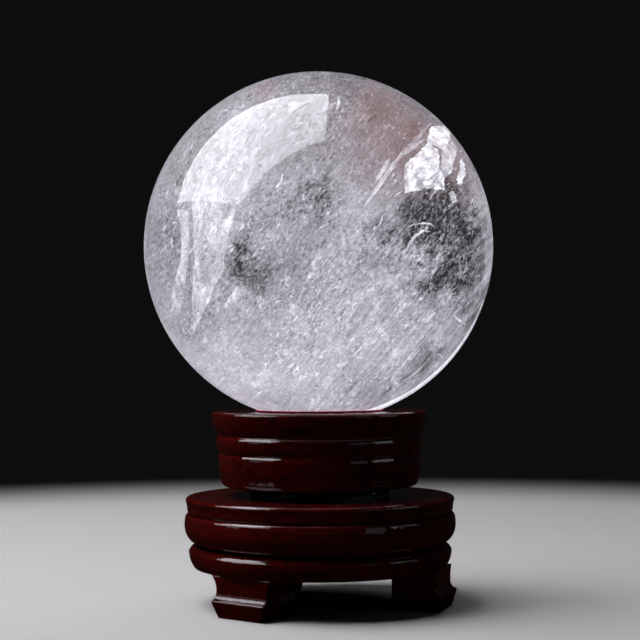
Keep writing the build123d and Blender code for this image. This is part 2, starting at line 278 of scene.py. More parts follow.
def ball_steel():
    """Lapped bearing steel with a thin film of grease."""
    s = Shader("ball_steel")
    clean, greasy = (0.74, 0.74, 0.76), (0.60, 0.57, 0.50)
    film = s.noise(s.here_mm(), 0.8, 4, 0.6)
    tone = s.mix(s.remap(film, 0.4, 0.7), clean, greasy)
    rough = s.remap(film, 0.35, 0.75, 0.05, 0.22)
    normal = s.bump(film, 0.06, 0.05)
    return s.finish(s.surface(Base_Color=tone, Metallic=1.0, Roughness=rough, Normal=normal))


def stamped_brass():
    """Dulled brass strip."""
    s = Shader("brass")
    yellow, brown = (0.72, 0.53, 0.24), (0.42, 0.27, 0.10)
    stain = s.noise(s.here_mm(), 0.5, 5, 0.6)
    lines = s.noise(s.here_mm((0.3, 5.0, 1.0)), 1.5, 3, 0.6)
    tone = s.mix(s.remap(stain, 0.35, 0.7), yellow, brown)
    rough = s.add(s.remap(stain, 0.3, 0.7, 0.22, 0.42), s.mul(lines, 0.08))
    normal = s.bump(lines, 0.2, 0.05)
    return s.finish(s.surface(Base_Color=tone, Metallic=1.0, Roughness=rough, Normal=normal))


def crimson_felt():
    """Short-napped wool felt, matted where the ball rests."""
    s = Shader("felt")
    deep, crimson, matted = (0.17, 0.005, 0.024), (0.46, 0.020, 0.070), (0.09, 0.002, 0.010)
    lint = s.noise(s.here_mm(), 3.5, 5, 0.7, 1.2)
    mat = s.noise(s.here_mm(), 0.45, 3, 0.5)
    tone = s.mix(s.remap(lint, 0.3, 0.7), deep, crimson)
    tone = s.mix(s.mul(s.remap(mat, 0.45, 0.7), 0.4), tone, matted)
    return s.finish(
        s.surface(
            Base_Color=tone,
            Roughness=s.remap(mat, 0.3, 0.7, 0.85, 1.0),
            Specular_IOR_Level=0.15,
            Sheen_Weight=0.25,
            Sheen_Roughness=0.45,
            Sheen_Tint=(0.8, 0.2, 0.3),
            Normal=s.bump(lint, 0.8, 0.4),
        )
    )


# ---------------------------------------------------------------- what the crystal holds


def bent(inward, normal):
    """The direction of a ray once it has entered the quartz."""
    k = 1 / QUARTZ_IOR
    c = -normal.dot(inward)
    return (k * inward + (k * c - math.sqrt(1 - k * k * (1 - c * c))) * normal).normalized()


def seen(u, v, share):
    """The point inside the ball, in radii from its centre, that shows to the camera at u across
    and v up its face (1 is the rim). share is how far along the bent sight line it lies, from
    the front of the ball to its back."""
    eye = (EYE - BALL_C) / BALL_R
    ahead = -eye.normalized()
    right = ahead.cross(Vector((0, 0, 1))).normalized()
    up = right.cross(ahead)
    spread = math.tan(math.asin(1 / eye.length))
    ray = (ahead + (right * u + up * v) * spread).normalized()
    half = -ray.dot(eye)
    normal = eye + ray * (half - math.sqrt(max(half * half - eye.dot(eye) + 1, 0)))
    inside = bent(ray, normal.normalized())
    return normal + inside * (-2 * normal.dot(inside)) * share


# Clear pockets in the milky growth: (across, up, reach, how clear)
POCKETS = (
    (0.72, 0.14, 0.25, 1.00),
    (0.58, 0.19, 0.15, 0.75),
    (0.80, -0.16, 0.20, 0.90),
    (0.92, -0.38, 0.14, 0.60),
    (0.40, 0.10, 0.12, 0.50),
    (-0.42, -0.02, 0.10, 0.75),
    (-0.33, -0.17, 0.10, 0.60),
    (0.01, 0.31, 0.11, 0.65),
    (-0.15, 0.22, 0.10, 0.35),
    (0.62, -0.62, 0.13, 0.45),
    (-0.97, 0.02, 0.24, 0.32),
    (-0.80, 0.55, 0.26, 0.25),
    (-0.02, 0.95, 0.40, 0.34),
)
# Denser banks of it: (across, up, reach, how much brighter)
BANKS = (
    (-0.10, -0.75, 0.42, 0.34),
    (-0.50, -0.78, 0.25, 0.25),
    (0.22, 0.10, 0.13, 0.22),
    (0.00, -0.42, 0.13, 0.16),
    (-0.75, 0.30, 0.22, 0.10),
    (0.59, -0.04, 0.10, 0.75),
    (0.50, -0.22, 0.12, 0.30),
    (0.28, 0.30, 0.16, 0.14),
)
# Tinted spots, a mauve-brown one at the upper right and rust-brown ones: (across, up, reach)
MAUVE_SPOT, MAUVE_EDGE = (0.46, 0.66, 0.34), (0.75, 0.55, 0.2)
RUSTY_SPOTS = ((0.33, 0.80, 0.11), (0.56, 0.68, 0.10))
# Where the long diagonal lines of growth show most: (across, up)
LINED_SPOT = (0.62, -0.50)
# Milky growth is laid down in sheets that slant from low left to high right.
SLANT = (math.radians(14), math.radians(55), math.radians(-10))
# How deep its layers lie, as shares of the way through, and which of them aren't bent
LAYER_SHARES = (0.06, 0.24, 0.46, 0.72)
FLAT_LAYERS = (1, 3)

CLEAR_TINT, COOL_TINT, WARM_TINT = (0.97, 0.97, 0.985), (0.86, 0.86, 1.0), (0.91, 0.88, 0.98)
MAUVE_TINT, RUSTY_TINT = (0.58, 0.43, 0.46), (0.60, 0.30, 0.22)

# The haze is painted light: its glow is emission that stands in for the light scattered inside the
# quartz
BASE_HAZE = 0.485
LEAST_HAZE = 0.03
PAINTED_HAZE_GLOW = 0.80
CLOUD_GAIN = 0.78
BANK_GAIN = 0.7
GRAIN_GAIN = 0.66
FLECK_GAIN = 0.55
NEEDLE_GAIN = 0.30
POCKET_LOSS = 0.88


class SightLine:
    """The sight line through the ball, bent where it enters, in radii about the centre."""

    def __init__(self, s):
        self.s = s
        self.geometry = s.node("ShaderNodeNewGeometry")
        self.normal = s.vec("NORMALIZE", s.vec("SUBTRACT", s.here(), tuple(BALL_C)))
        incoming = s.node(
            "ShaderNodeVectorTransform",
            {"Vector": self.geometry.outputs["Incoming"]},
            vector_type="NORMAL",
            convert_from="WORLD",
            convert_to="OBJECT",
        ).outputs[0]
        self.to_eye = s.vec("NORMALIZE", incoming)
        self.inward = s.vec("SCALE", self.to_eye, scale=-1.0)
        self.ray = s.vec("REFRACT", self.inward, self.normal, scale=1 / QUARTZ_IOR)
        self.chord = s.mul(s.vec("DOT_PRODUCT", self.normal, self.ray), -2.0)

    def along(self, share):
        """The point at a share of the way from the ball's front to its back."""
        s = self.s
        return s.vec("ADD", self.normal, s.vec("SCALE", self.ray, scale=s.mul(self.chord, share)))

    def foot(self):
        """Where the line would pass closest to the centre if it weren't bent."""
        s = self.s
        depth = s.vec("DOT_PRODUCT", self.normal, self.inward)
        return s.vec("SUBTRACT", self.normal, s.vec("SCALE", self.inward, scale=depth))


def slanted(s, at):
    """A place in the growth's own slanted frame."""
    inputs = {"Vector": at, "Rotation": SLANT}
    return s.node("ShaderNodeVectorRotate", inputs, rotation_type="EULER_XYZ").outputs[0]


def near(s, at, spot, core=0.25):
    """1 about a spot of the ball's face, up to core of its reach, and 0 beyond its reach."""
    u, v, reach = spot[:3]
    gap = s.vec("DISTANCE", at, tuple(seen(u, v, 0.5)))
    return s.remap(gap, reach, reach * core)


def growth(s, sight, flat):
    """The growth's fine grain, flecks and needles, gathered from layers at several depths."""
    grains = flecks = needles = 0.0
    for k, share in enumerate(LAYER_SHARES):
        turned = slanted(s, flat if k in FLAT_LAYERS else sight.along(share))
        drawn = s.stretched(turned, (0.36, 1.0, 1.0))
        grain = s.noise(drawn, 96.0 - 9 * k, 2, 0.75)
        clump = s.noise(drawn, 7.0 + 1.5 * k, 3, 0.6, 0.4)
        uneven = s.remap(clump, 0.35, 0.65, 0.35, 1.5)
        grains = s.add(grains, s.mul(s.less(grain, 0.5), uneven))
        patchy = s.noise(s.stretched(turned, (0.34, 1.0, 1.2)), 17.0 + 6 * k, 4, 0.7, 0.5)
        fleck = s.mul(s.remap(patchy, 0.60, 0.69), s.remap(clump, 0.42, 0.56))
        flecks = s.add(flecks, fleck)
        spark = s.remap(s.cells(s.stretched(turned, (0.20, 1.0, 1.0)), 30.0 + 5 * k), 0.16, 0.05)
        needles = s.larger(needles, s.mul(spark, s.remap(clump, 0.48, 0.66)))
    return grains, flecks, needles


def rock_crystal():
    """Polished quartz. The sight line is bent at the surface and followed through the ball: what
    it meets of the milky growth inside is laid over the clear glass as a painted glow, emission
    that stands in for the light the milk scatters, so that flecks and clouds sit at their own
    depth."""
    s = Shader("rock_crystal")
    sight = SightLine(s)
    middle = sight.along(0.5)
    flat = sight.foot()
    height = s.height_of(middle)

    # pockets, banks and tinted spots, with ragged borders
    wobble = s.vec("SCALE", s.noise(middle, 5.0, 6, 0.75, colour=True), scale=0.52)
    ragged = s.vec("ADD", middle, s.vec("SUBTRACT", wobble, (0.26, 0.26, 0.26)))
    pocket = 0.0
    for spot in POCKETS:
        pocket = s.larger(pocket, s.mul(near(s, ragged, spot), spot[3]))
    bank = 0.0
    for spot in BANKS:
        bank = s.add(bank, s.mul(near(s, ragged, spot, 0.0), spot[3]))
    mauve = s.larger(near(s, ragged, MAUVE_SPOT, 0.1), s.mul(near(s, ragged, MAUVE_EDGE), 0.8))
    rusty = s.larger(*(near(s, ragged, spot, 0.0) for spot in RUSTY_SPOTS))

    # textures of the growth
    grains, flecks, needles = growth(s, sight, flat)
    across = s.mul(s.vec("DOT_PRODUCT", flat, (0.77, 0.0, -0.64)), 26.0)
    onward = s.mul(s.vec("DOT_PRODUCT", flat, (0.64, 0.0, 0.77)), 2.4)
    striped = s.node("ShaderNodeCombineXYZ", {0: across, 1: onward, 2: height}).outputs[0]
    lines = s.noise(striped, 1.6, 4, 0.6, 0.3)
    cotton = s.noise(s.stretched(flat, (1.0, 1.0, 0.8)), 11.0, 5, 0.68, 0.4)
    cloud = s.noise(s.stretched(slanted(s, middle), (0.55, 1.0, 1.0)), 3.1, 5, 0.62, 0.3)

    # where each of them shows
    plain = s.remap(s.vec("DOT_PRODUCT", sight.normal, sight.to_eye), 0.10, 0.60, 0.35, 1.0)
    calm = s.mul(plain, s.remap(height, -0.55, -0.10, 0.80, 1.0))
    calm = s.mul(calm, s.less(1.0, s.mul(mauve, 0.45)))
    from_lines = s.vec("DISTANCE", middle, tuple(seen(*LINED_SPOT, 0.5)))
    lined = s.remap(from_lines, 0.25, 0.75, 0.90, 0.20)
    fluffy = s.mul(s.remap(cotton, 0.54, 0.68), s.remap(height, -0.1, 0.3, 0.34, 0.14))

    level = s.add(BASE_HAZE, s.mul(s.less(cloud, 0.5), CLOUD_GAIN))
    # painted shade: the haze's glow is dimmed towards the ball's top
    level = s.less(level, s.remap(height, 0.12, 0.62, 0.0, 0.20))
    level = s.add(level, s.mul(bank, BANK_GAIN))
    level = s.mul(level, s.less(1.0, s.mul(pocket, POCKET_LOSS)))
    level = s.add(level, s.mul(s.mul(grains, GRAIN_GAIN), calm))
    level = s.add(level, s.mul(s.less(lines, 0.5), lined))
    level = s.add(level, s.mul(s.mul(flecks, FLECK_GAIN), plain))
    level = s.add(level, s.mul(fluffy, plain))
    level = s.add(level, s.mul(s.mul(needles, NEEDLE_GAIN), plain))
    level = s.larger(level, LEAST_HAZE)

    front = s.less(1.0, sight.geometry.outputs["Backfacing"])
    cover = s.mul(s.less(0.20, s.mul(pocket, 0.16)), s.remap(cloud, 0.3, 0.7, 0.6, 1.3))
    milk = s.mul(cover, front)
    tint = s.mix(s.noise(sight.normal, 1.3, 3), COOL_TINT, WARM_TINT)
    tint = s.mix(s.mul(mauve, 0.9), tint, MAUVE_TINT)
    tint = s.mix(s.mul(rusty, 0.5), tint, RUSTY_TINT)
    return s.finish(
        s.surface(
            Base_Color=s.mix(milk, CLEAR_TINT, tint),
            Roughness=0.0,
            IOR=QUARTZ_IOR,
            Transmission_Weight=s.less(1.0, milk),
            Emission_Color=tint,
            # painted light: the haze glows without a lamp
            Emission_Strength=s.mul(s.mul(level, front), PAINTED_HAZE_GLOW),
        )
    )


def inclusion(name, painted_glow, rough, rainbow=0.0, cover=None, fade=1.0, ribs=0.0):
    """A healed crack or veil: pale, with faint rainbow fringes and a painted glow in patches that
    stands in for the light it catches. ribs is how strongly its painted glow is scored along the
    growth's slant; a cover makes it see-through, and fade thins it towards the ball's top."""
    s = Shader(name)
    # painted highlight: the pale tone and its glow brighten in patches, as where a crack catches
    # the light
    dull, bright = (0.70, 0.71, 0.78), (0.96, 0.97, 1.0)
    fold = s.noise(s.here_mm((1.0, 1.0, 0.35)), 0.35, 4, 0.6, 0.5)
    fine = s.noise(s.here_mm(), 2.2, 4, 0.7)
    tone = s.mix(s.remap(fold, 0.35, 0.65), dull, bright)
    height = s.height_of(s.here())

    def upwards(start, end, below, above):
        """From below to above between two heights of the ball, in radii from its centre."""
        return s.remap(height, BALL_C.z + start * BALL_R, BALL_C.z + end * BALL_R, below, above)

    if rainbow:
        hue = s.mul(s.noise(s.here_mm(), 0.55, 2, 0.5), 12.0)
        waves = [s.math("SINE", s.add(s.mul(hue, 3.1), phase)) for phase in (0.0, 2.1, 4.2)]
        parts = {k: s.add(0.62, s.mul(wave, 0.38)) for k, wave in enumerate(waves)}
        spectrum = s.node("ShaderNodeCombineColor", parts).outputs[0]
        fringes = s.mul(s.remap(fine, 0.50, 0.64), rainbow)
        tone = s.mix(s.mul(fringes, upwards(0.50, 0.64, 0.25, 1.0)), tone, spectrum)
    level = s.mul(s.remap(fold, 0.3, 0.7, 0.55, 1.0), s.remap(fine, 0.3, 0.7, 0.8, 1.0))
    if ribs:
        drawn = s.stretched(slanted(s, s.here_mm()), (0.10, 0.9, 0.9))
        scored = s.noise(drawn, 0.8, 4, 0.65, 0.4)
        level = s.mul(level, s.remap(scored, 0.42, 0.60, 1.0 - ribs, 1.15))
    inputs = dict(
        Base_Color=s.mix(0.5, tone, (0, 0, 0)),
        Roughness=s.remap(fine, 0.3, 0.7, rough * 0.6, rough),
        IOR=1.45,
        Emission_Color=tone,
        Emission_Strength=s.mul(level, painted_glow),
        Normal=s.bump(fold, 0.4, 0.3),
    )
    if cover:
        patches = s.remap(s.add(s.mul(fold, 0.6), s.mul(fine, 0.4)), 0.36, 0.62, *cover)
        inputs["Alpha"] = s.mul(patches, upwards(-0.1, 0.5, 1.0, fade))
    return s.finish(s.surface(**inputs))


# ---------------------------------------------------------------- pieces inside the ball


def new_mesh(name, vertices, faces, material, smooth=False):
    mesh = bpy.data.meshes.new(name)
    mesh.from_pydata(vertices, [], faces)
    mesh.validate()
    mesh.materials.append(material)
    if smooth:
        mesh.shade_smooth()
    return linked(bpy.data.objects.new(name, mesh))


def linked(obj):
    bpy.context.scene.collection.objects.link(obj)
    return obj


class Shells:
    """Closed shells gathered into one piece."""

    def __init__(self):
        self.vertices = []
        self.faces = []

    def add(self, vertices, faces):
        first = len(self.vertices)
        self.vertices += [tuple(v) for v in vertices]
        self.faces += [[first + k for k in face] for face in faces]

    def make(self, name, material, smooth=False):
        return new_mesh(name, self.vertices, self.faces, material, smooth)

    def make_in_ball(self, name, material, smooth=False):
        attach(self.make(name, material, smooth), "ball")


def in_ball(point):
    """From radii about the ball's centre to metres."""
    return BALL_C + BALL_R * point


def add_sheet(shells, rows, thick):
    """A thin closed sheet over a grid of points, thinning towards its border."""
    high, wide = len(rows), len(rows[0])
    front, back = [], []
    for i in range(high):
        for j in range(wide):
            down = rows[min(i + 1, high - 1)][j] - rows[max(i - 1, 0)][j]
            over = rows[i][min(j + 1, wide - 1)] - rows[i][max(j - 1, 0)]
            normal = over.cross(down).normalized()
            at_border = min(i, j, high - 1 - i, wide - 1 - j) == 0
            half = normal * thick / 2 * (0.25 if at_border else 1.0)
            front.append(rows[i][j] + half)
            back.append(rows[i][j] - half)
    count = high * wide
    faces = []
    for i in range(high - 1):
        for j in range(wide - 1):
            a, d = i * wide + j, (i + 1) * wide + j
            b, c = a + 1, d + 1
            faces.append((d, c, b, a))
            faces.append((count + a, count + b, count + c, count + d))
    top, right = range(wide), range(2 * wide - 1, count, wide)
    bottom, left = range(count - 2, count - wide - 1, -1), range(count - 2 * wide, 0, -wide)
    border = [*top, *right, *bottom, *left]
    for k, a in enumerate(border):
        b = border[(k + 1) % len(border)]
        faces.append((a, b, count + b, count + a))
    shells.add(front + back, faces)


def add_plate(shells, corners, thick, crown):
    """A thin closed plate with the given corners and a raised middle."""
    middle = sum(corners, Vector()) / len(corners)
    normal = Vector()
    for k, corner in enumerate(corners):
        normal += (corner - middle).cross(corners[(k + 1) % len(corners)] - middle)
    normal.normalize()
    n = len(corners)
    front = [p + normal * thick / 2 for p in corners] + [middle + normal * (thick / 2 + crown)]
    back = [p - normal * thick / 2 for p in corners] + [middle - normal * thick / 2]
    faces = []
    for k in range(n):
        m = (k + 1) % n
        faces.append((k, m, n))
        faces.append((n + 1 + m, n + 1 + k, 2 * n + 1))
        faces.append((m, k, n + 1 + k, n + 1 + m))
    shells.add(front + back, faces)


def add_sliver(shells, centre, along, half, width, flat):
    """A crystal sliver: two long points about a flat diamond."""
    side = along.orthogonal().normalized()
    other = along.cross(side).normalized()
    arms = (side * width, other * flat)
    ring = [centre + arms[0], centre + arms[1], centre - arms[0], centre - arms[1]]
    tips = [centre + along * half, centre - along * half]
    faces = [(k, (k + 1) % 4, 4) for k in range(4)] + [((k + 1) % 4, k, 5) for k in range(4)]
    shells.add(ring + tips, faces)


# Outlines on the ball's face, (left, right, height) down each blade, as shares of its radius
BLADE = (
    (-0.476, -0.276, 0.806),
    (-0.590, -0.333, 0.591),
    (-0.683, -0.390, 0.406),
    (-0.723, -0.447, 0.277),
    (-0.722, -0.490, 0.163),
    (-0.712, -0.526, 0.020),
    (-0.716, -0.547, -0.123),
    (-0.729, -0.633, -0.309),
    (-0.735, -0.723, -0.494),
)
SMALL_BLADE = (
    (-0.805, -0.747, 0.220),
    (-0.783, -0.740, 0.077),
    (-0.790, -0.747, -0.066),
    (-0.833, -0.769, -0.209),
    (-0.845, -0.783, -0.309),
    (-0.829, -0.807, -0.387),
)
LEAF = (
    (-0.470, -0.405, -0.223),
    (-0.500, -0.425, -0.262),
    (-0.530, -0.462, -0.300),
    (-0.552, -0.535, -0.342),
)
# Facets of the healed fracture near the ball's right shoulder: (across, up, share of the way in)
# at each corner
FRACTURE = (
    (
        (0.495, 0.470, 0.10), (0.567, 0.527, 0.13), (0.624, 0.591, 0.16), (0.688, 0.549, 0.12),
        (0.695, 0.449, 0.09), (0.595, 0.391, 0.08), (0.495, 0.406, 0.09),
    ),
    (
        (0.495, 0.406, 0.12), (0.595, 0.391, 0.09), (0.695, 0.449, 0.07), (0.717, 0.391, 0.08),
        (0.717, 0.320, 0.12), (0.624, 0.334, 0.14), (0.495, 0.306, 0.15),
    ),
    (
        (0.638, 0.677, 0.20), (0.688, 0.691, 0.17), (0.741, 0.677, 0.14), (0.760, 0.606, 0.12),
        (0.717, 0.549, 0.13), (0.624, 0.591, 0.18),
    ),
    (
        (0.814, 0.499, 0.16), (0.838, 0.477, 0.13), (0.843, 0.406, 0.11), (0.824, 0.356, 0.13),
        (0.793, 0.356, 0.16), (0.798, 0.406, 0.17), (0.814, 0.434, 0.16),
    ),
)
# A plate of the fracture given the streaks' dimmer glow: painted shade where the fracture lies in
# shade
FRACTURE_SHADE = (
    (0.760, 0.606, 0.22), (0.795, 0.563, 0.20), (0.767, 0.420, 0.18), (0.717, 0.391, 0.18),
    (0.695, 0.449, 0.20), (0.717, 0.549, 0.22),
)
# Long cracks beside the fracture: (share of the way in, width, points across and up)
STREAKS = (
    (0.23, 0.034, ((0.410, 0.510), (0.374, 0.442), (0.322, 0.364))),
    (0.29, 0.030, ((0.488, 0.553), (0.388, 0.406), (0.262, 0.232))),
    (0.31, 0.034, ((0.640, 0.700), (0.536, 0.580), (0.408, 0.446))),
    (0.33, 0.022, ((0.622, 0.624), (0.552, 0.572), (0.476, 0.518))),
)
# Thin curved wisps, likewise
WISPS = (
    (0.22, 0.012, ((0.495, 0.100), (0.535, 0.123), (0.598, 0.134), (0.644, 0.129), (0.667, 0.106))),
    (0.25, 0.020, ((0.505, -0.02), (0.520, 0.020), (0.552, 0.060), (0.600, 0.092), (0.640, 0.085))),
    (0.22, 0.013, ((0.627, -0.169), (0.662, -0.145), (0.695, -0.111))),
    (0.28, 0.012, ((0.300, 0.080), (0.352, 0.130), (0.372, 0.185))),
    (0.30, 0.016, ((-0.250, 0.330), (-0.215, 0.372), (-0.200, 0.420))),
    (0.35, 0.008, ((0.330, -0.800), (0.470, -0.690), (0.600, -0.540), (0.700, -0.420))),
    (0.38, 0.008, ((0.380, -0.850), (0.560, -0.720), (0.690, -0.580))),
    (0.33, 0.010, ((0.180, -0.640), (0.260, -0.560), (0.360, -0.430))),
    (0.30, 0.008, ((-0.230, 0.690), (-0.130, 0.790), (-0.010, 0.860))),
    (0.26, 0.016, ((0.768, -0.395), (0.800, -0.420), (0.842, -0.450))),
)
# Knots of slivers: (across, up, share of the way in, spread, how many)
KNOTS = (
    (0.410, -0.237, 0.25, 0.030, 22),
    (0.224, -0.266, 0.35, 0.030, 18),
    (-0.105, -0.430, 0.30, 0.050, 34),
    (-0.247, -0.637, 0.30, 0.050, 28),
    (-0.540, -0.737, 0.35, 0.035, 22),
    (-0.076, 0.349, 0.25, 0.022, 12),
    (-0.033, 0.441, 0.30, 0.020, 10),
    (0.310, -0.051, 0.30, 0.030, 12),
    (-0.333, -0.337, 0.35, 0.030, 14),
    (-0.105, -0.251, 0.30, 0.028, 12),
    (0.595, -0.380, 0.25, 0.035, 14),
    (0.353, -0.566, 0.30, 0.050, 24),
    (0.253, -0.723, 0.30, 0.040, 16),
    (0.567, 0.020, 0.30, 0.050, 20),
    (0.717, -0.073, 0.20, 0.020, 6),
    (0.100, -0.560, 0.45, 0.070, 26),
    (-0.250, 0.080, 0.45, 0.060, 16),
    (0.120, 0.250, 0.40, 0.060, 18),
)
SLIVER_AXIS = Vector((0.57, 0.36, 0.74)).normalized()
SLIVER_COUNT = 1500
STREWN_REACH, KNOT_REACH = 0.94, 0.95  # how far from the centre slivers may lie, in radii
VEIL, THIN_VEIL, PLATE = 0.10 * MM, 0.08 * MM, 0.12 * MM  # thicknesses
BLADE_STEPS = 5
BROKEN_STEPS, BROKEN_SIZE = 6, 0.011
WISP_STEPS = 8


def blade_rows(outline, share, across, bend, seed):
    """The grid of a veil that fills an outline, folded along its length."""
    rows = []
    for i in range((len(outline) - 1) * BLADE_STEPS + 1):
        k = min(i // BLADE_STEPS, len(outline) - 2)
        t = i / BLADE_STEPS - k
        left, right, height = (a + (b - a) * t for a, b in zip(outline[k], outline[k + 1]))
        row = []
        for j in range(across):
            f = j / (across - 1)
            fray = 0.010 * noise.noise(Vector((i * 0.45, f * 3.0, seed)))
            fold = bend * math.sin(f * 7.0 + i * 0.11)
            fold += 0.012 * noise.noise(Vector((i * 0.2, f * 4.0, seed + 5)))
            row.append(in_ball(seen(left + (right - left) * f + fray, height, share + fold)))
        rows.append(row)
    return rows


def add_veils():
    veils = Shells()
    add_sheet(veils, blade_rows(BLADE, 0.17, 13, 0.012, 3.0), VEIL)
    add_sheet(veils, blade_rows(SMALL_BLADE, 0.15, 7, 0.006, 9.0), VEIL)
    add_sheet(veils, blade_rows(LEAF, 0.22, 7, 0.004, 14.0), THIN_VEIL)
    look = inclusion("veil", 0.46, 0.5, cover=(0.16, 0.70), fade=0.30, ribs=0.35)
    veils.make_in_ball("quartz_veils", look, smooth=True)


def broken(corners, seed):
    """An outline with its straight sides broken up, as a crack's edge is. Corners are (across,
    up, share)."""
    outline = []
    for k, (u, v, share) in enumerate(corners):
        u2, v2, share2 = corners[(k + 1) % len(corners)]
        for i in range(BROKEN_STEPS):
            f = i / BROKEN_STEPS
            shake = [
                BROKEN_SIZE * noise.noise(Vector((k * 3.1 + i * 0.9, seed, axis)))
                for axis in (0.5, 7.5)
            ]
            spot = (u + (u2 - u) * f + shake[0], v + (v2 - v) * f + shake[1])
            outline.append(in_ball(seen(*spot, share + (share2 - share) * f)))
    return outline


def wisp_rows(points, share, width, seed):
    """The grid of a narrow ribbon along points (across, up) of the ball's face, pointed at both
    ends."""
    count = (len(points) - 1) * WISP_STEPS
    spine = []
    for i in range(count + 1):
        k = min(i // WISP_STEPS, len(points) - 2)
        f = i / WISP_STEPS - k
        (u, v), (u2, v2) = points[k], points[k + 1]
        spine.append(Vector((u + (u2 - u) * f, v + (v2 - v) * f)))
    rows = []
    for i, spot in enumerate(spine):
        ahead = (spine[min(i + 1, count)] - spine[max(i - 1, 0)]).normalized()
        side = Vector((-ahead.y, ahead.x))
        pointed = max(math.sin(math.pi * (i + 0.4) / (count + 0.8)), 0.08)
        uneven = 0.8 + 0.6 * noise.noise(Vector((i * 0.7, seed, 0.5)))
        row = []
        for j in range(4):
            over = width / 2 * pointed * uneven * (j / 1.5 - 1)
            fray = side * over * (1 + 0.5 * noise.noise(Vector((i * 0.9, seed, j))))
            row.append(in_ball(seen(spot.x + fray.x, spot.y + fray.y, share + 0.3 * over)))
        rows.append(row)
    return rows


def add_fracture():
    facets = Shells()
    for k, corners in enumerate(FRACTURE):
        add_plate(facets, broken(corners, 2.0 + 4 * k), PLATE, 0.30 * MM)
    facets.make_in_ball("quartz_fracture", inclusion("fracture", 1.55, 0.25, 0.60, ribs=0.60))
    streaks = Shells()
    add_plate(streaks, broken(FRACTURE_SHADE, 31.0), PLATE, 0.2 * MM)
    for k, (share, width, points) in enumerate(STREAKS + WISPS):
        add_sheet(streaks, wisp_rows(points, share, width, 51.0 + 5 * k), THIN_VEIL)
    look = inclusion("streaks", 0.60, 0.3, 0.30, cover=(0.30, 0.92), ribs=0.4)
    streaks.make_in_ball("quartz_streaks", look)


def add_slivers():
    """Fine slivers strewn through the ball, thicker in knots, most of them lying along the
    growth's slant."""
    rng = random.Random(41)
    slivers = Shells()
    spots = []
    for u, v, share, spread, count in KNOTS:
        centre = seen(u, v, share)
        for _ in range(count):
            spots.append(centre + Vector([rng.gauss(0, spread) for _ in range(3)]))
    while len(spots) < SLIVER_COUNT:
        spot = Vector([rng.uniform(-STREWN_REACH, STREWN_REACH) for _ in range(3)])
        if spot.length < STREWN_REACH and noise.noise(spot * 2.2) + rng.uniform(-0.5, 0.5) > 0.0:
            spots.append(spot)
    for spot in spots:
        if spot.length > KNOT_REACH:
            continue
        loose = Vector([rng.gauss(0, 0.33) for _ in range(3)])
        along = (SLIVER_AXIS + loose).normalized()
        half = (0.12 + 0.55 * rng.random() ** 2.5) * MM
        width = rng.uniform(0.05, 0.15) * MM
        add_sliver(slivers, in_ball(spot), along, half, width, width * rng.uniform(0.25, 0.7))
    slivers.make_in_ball("quartz_slivers", inclusion("slivers", 0.55, 0.25, 0.12))


# ---------------------------------------------------------------- felt seat

FELT_INNER = 14.05 * MM
FELT_TURNS = 200
BED_POINTS = 9
FIBRE_COUNT = 1500
FIBRE_RADIUS = 0.014 * MM


def felt_section(outer, low, rim_face):
    """The ring's section as (radius, height): the bed under the ball, a plump lip over the cup's
    rim, and the part in the groove."""

    def bed(radius, sunk_mm):
        return radius, BALL_C.z - math.sqrt(BALL_R**2 - radius**2) - sunk_mm * MM

    bed_width = outer - 0.5 * MM - FELT_INNER
    section = [bed(FELT_INNER + bed_width * k / (BED_POINTS - 1), 0.03) for k in range(BED_POINTS)]
    return section + [
        bed(outer + 0.20 * MM, 0.06),
        bed(outer + 0.75 * MM, 0.10),
        (outer + 0.98 * MM, rim_face + 0.30 * MM),
        (outer + 0.80 * MM, rim_face + 0.03 * MM),
        (outer - 0.02 * MM, rim_face + 0.03 * MM),
        (outer - 0.02 * MM, low + 0.05 * MM),
        (outer - 0.15 * MM, low),
        (FELT_INNER + 0.15 * MM, low),
        (FELT_INNER, low + 0.15 * MM),
    ]


def add_felt():
    """The felt ring the ball beds into: pressed to the ball's shape, its outer edge plump, with
    loose fibres."""
    low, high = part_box("seat_liner")
    outer = high.x
    rim_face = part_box("seat_cup")[1].z
    section = felt_section(outer, low.z, rim_face)
    n = len(section)
    felt = Shells()
    vertices, faces = [], []
    for i in range(FELT_TURNS):
        a = math.tau * i / FELT_TURNS
        for k, (r, z) in enumerate(section):
            lump = 0.0
            if k < BED_POINTS + 2:
                lump = abs(noise.noise(Vector((math.cos(a) * 9, math.sin(a) * 9, k * 0.6))))
            z -= lump * 0.10 * MM
            if r > outer:
                z = max(z, rim_face + 0.03 * MM)
            if k >= BED_POINTS:
                r -= lump * 0.12 * MM
            vertices.append((r * math.cos(a), r * math.sin(a), z))
        for k in range(n):
            j, m = (i + 1) % FELT_TURNS, (k + 1) % n
            faces.append((i * n + k, i * n + m, j * n + m, j * n + k))
    felt.add(vertices, faces)
    rng = random.Random(7)
    for _ in range(FIBRE_COUNT):
        a = rng.uniform(0, math.tau)
        cos, sin = math.cos(a), math.sin(a)
        r = outer + rng.uniform(0.55, 0.85) * MM
        root = Vector((r * cos, r * sin, rim_face + rng.uniform(0.08, 0.30) * MM))
        lean = Vector((cos, sin, 0)) * rng.uniform(0.2, 1.0)
        lean += Vector((-sin, cos, 0)) * rng.uniform(-1.2, 1.2)
        lean.z = rng.uniform(0.25, 0.7)
        add_fibre(felt, root, lean.normalized(), rng.uniform(0.18, 0.42) * MM, rng)
    piece = felt.make("felt_ring", crimson_felt(), smooth=True)
    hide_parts("seat_liner")
    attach(piece, "turntable")


